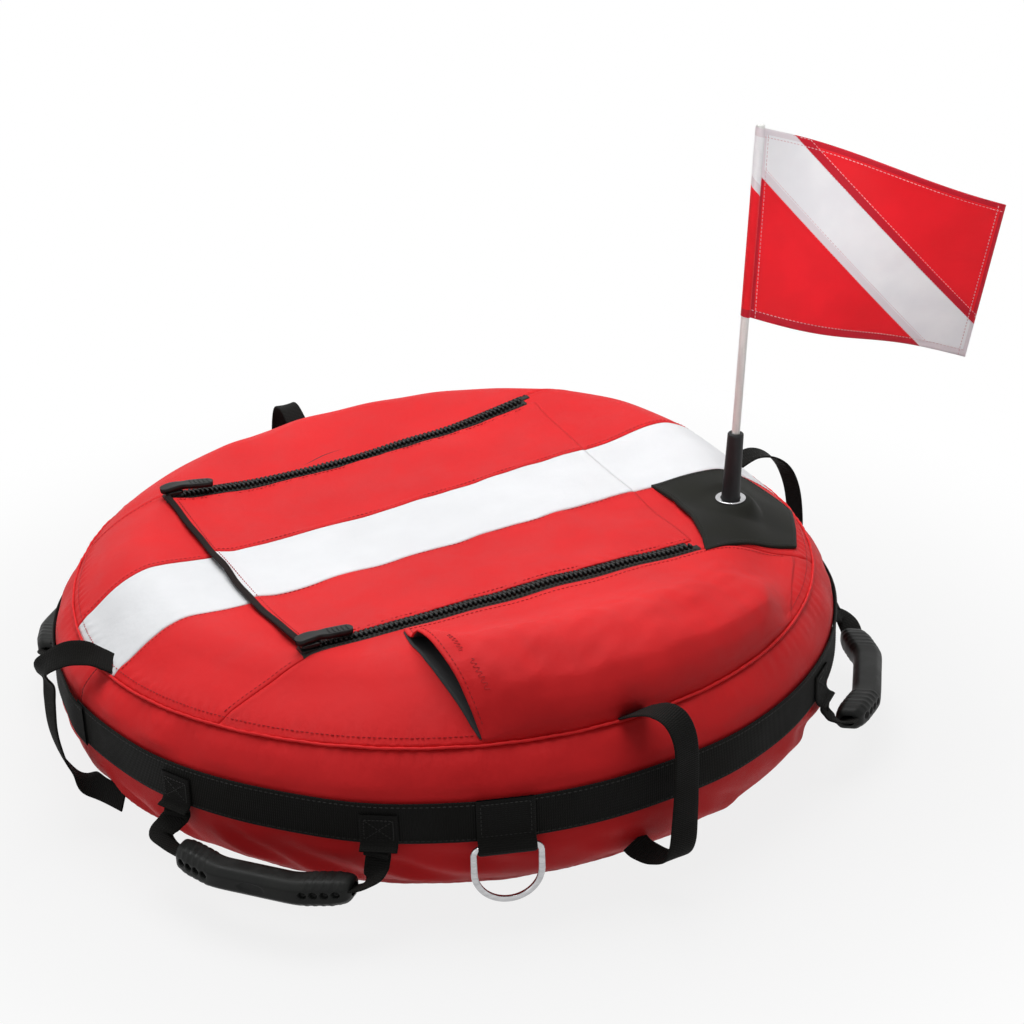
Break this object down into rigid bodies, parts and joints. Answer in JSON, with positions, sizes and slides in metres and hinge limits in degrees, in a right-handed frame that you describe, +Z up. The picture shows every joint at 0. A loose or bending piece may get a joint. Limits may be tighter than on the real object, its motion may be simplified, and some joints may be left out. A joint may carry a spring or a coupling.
{
  "type": "freediving buoy",
  "caption": "Round inflated float in a red cover with a white stripe, a zipped lid over its gear well, a pocket, grips, hand loops, D-rings and a mast with a dive flag.",
  "frame": {"origin": "centre of the ring on the floor it rests on", "axes": "+Z up, +X along the white stripe towards the mast end"},
  "size_m": [0.9389, 0.8619, 0.6028],
  "materials": {
    "tube_rubber": "matte black inner tube",
    "cover_red": "coated red nylon cloth",
    "stripe_white": "coated white nylon cloth",
    "bottom_fabric": "coated black nylon cloth",
    "webbing": "black woven webbing",
    "zip_black": "moulded black plastic",
    "neoprene": "black neoprene sheet",
    "steel": "polished stainless steel",
    "socket_rubber": "black rubber tube",
    "pole_white": "white glass-fibre rod",
    "flag_cloth": "red and white flag cloth",
    "grip_rubber": "moulded dark grip"
  },
  "bodies": {
    "float": {"inner_tube": "tube_rubber", "side_panel": "cover_red", "top_far": "cover_red", "top_near": "cover_red", "top_left_far": "cover_red", "top_left_near": "cover_red", "top_right_far": "cover_red", "top_right_near": "cover_red", "pocket": "cover_red", "piping": "cover_red", "stripe_left": "stripe_white", "stripe_right": "stripe_white", "bottom_panel": "bottom_fabric", "well_lining": "bottom_fabric", "belt": "webbing", "loop_left": "webbing", "loop_near": "webbing", "loop_right": "webbing", "loop_far": "webbing", "ring_tab_near": "webbing", "ring_tab_far": "webbing", "zip_far_fixed": "zip_black", "zip_near_fixed": "zip_black", "mast_patch": "neoprene", "mast_eyelet": "steel", "mast_socket": "socket_rubber", "lid_seam": "webbing", "grip_tabs_near_left": "webbing", "grip_tabs_near_right": "webbing", "grip_tabs_far_left": "webbing", "grip_tabs_far_right": "webbing"},
    "lid": {"lid_far": "cover_red", "lid_stripe": "stripe_white", "lid_near": "cover_red", "lid_binding": "webbing", "zip_far_lid": "zip_black", "zip_near_lid": "zip_black", "slider_far": "zip_black", "slider_near": "zip_black"},
    "mast": {"mast_pole": "pole_white", "flag": "flag_cloth"},
    "ring_near": {"ring_near": "steel"},
    "ring_far": {"ring_far": "steel"},
    "grip_near_left": {"grip_near_left": "grip_rubber", "grip_web_near_left": "webbing"},
    "grip_near_right": {"grip_near_right": "grip_rubber", "grip_web_near_right": "webbing"},
    "grip_far_left": {"grip_far_left": "grip_rubber", "grip_web_far_left": "webbing"},
    "grip_far_right": {"grip_far_right": "grip_rubber", "grip_web_far_right": "webbing"}
  },
  "joints": [
    {"name": "lid_hinge", "type": "hinge", "parent": "float", "child": "lid", "pos_m": [0.2, 0, 0.2228], "axis": [0, 1, 0], "range_deg": [0, 95]},
    {"name": "mast_lift", "type": "slide", "parent": "float", "child": "mast", "axis": [0.0534, -0.0216, 0.9983], "range_m": [0, 0.075]},
    {"name": "grip_near_left_hinge", "type": "hinge", "parent": "float", "child": "grip_near_left", "pos_m": [-0.28913, -0.26034, 0.082], "axis": [-0.6691, 0.7431, 0], "range_deg": [0, 90]},
    {"name": "grip_near_right_hinge", "type": "hinge", "parent": "float", "child": "grip_near_right", "pos_m": [0.31476, -0.22869, 0.082], "axis": [-0.5878, -0.809, 0], "range_deg": [0, 90]},
    {"name": "grip_far_left_hinge", "type": "hinge", "parent": "float", "child": "grip_far_left", "pos_m": [-0.28913, 0.26034, 0.082], "axis": [0.6691, 0.7431, 0], "range_deg": [0, 90]},
    {"name": "grip_far_right_hinge", "type": "hinge", "parent": "float", "child": "grip_far_right", "pos_m": [0.31476, 0.22869, 0.082], "axis": [0.5878, -0.809, 0], "range_deg": [0, 90]},
    {"name": "ring_near_hinge", "type": "hinge", "parent": "float", "child": "ring_near", "pos_m": [-0.12028, -0.38149, 0.084], "axis": [-0.9537, 0.3007, 0], "range_deg": [0, 100]},
    {"name": "ring_far_hinge", "type": "hinge", "parent": "float", "child": "ring_far", "pos_m": [0.12028, 0.38149, 0.084], "axis": [0.9537, -0.3007, 0], "range_deg": [0, 100]}
  ]
}
